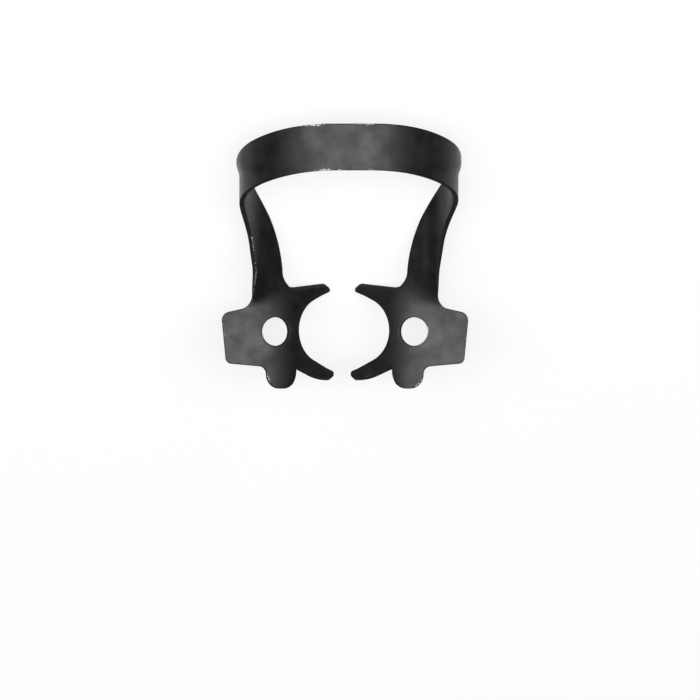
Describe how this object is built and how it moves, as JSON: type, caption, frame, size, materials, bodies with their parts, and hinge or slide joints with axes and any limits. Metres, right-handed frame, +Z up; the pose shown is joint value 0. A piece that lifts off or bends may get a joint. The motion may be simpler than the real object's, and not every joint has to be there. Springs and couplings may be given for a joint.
{
  "type": "rubber dam clamp",
  "caption": "Winged spring clamp for a dental dam: an arched bow with legs down to inclined jaws with prongs, pierced for forceps.",
  "frame": {"origin": "on the ground, under the middle of the clamp's box as it lies", "axes": "+X across the mouth of the jaws, +Y from the jaws to the bow, +Z up with the clamp lying on its back prongs and legs"},
  "size_m": [0.028, 0.0352, 0.0103],
  "materials": {
    "black_coat": "satin"
  },
  "bodies": {
    "root": {"clamp_body": "black_coat"}
  },
  "joints": []
}
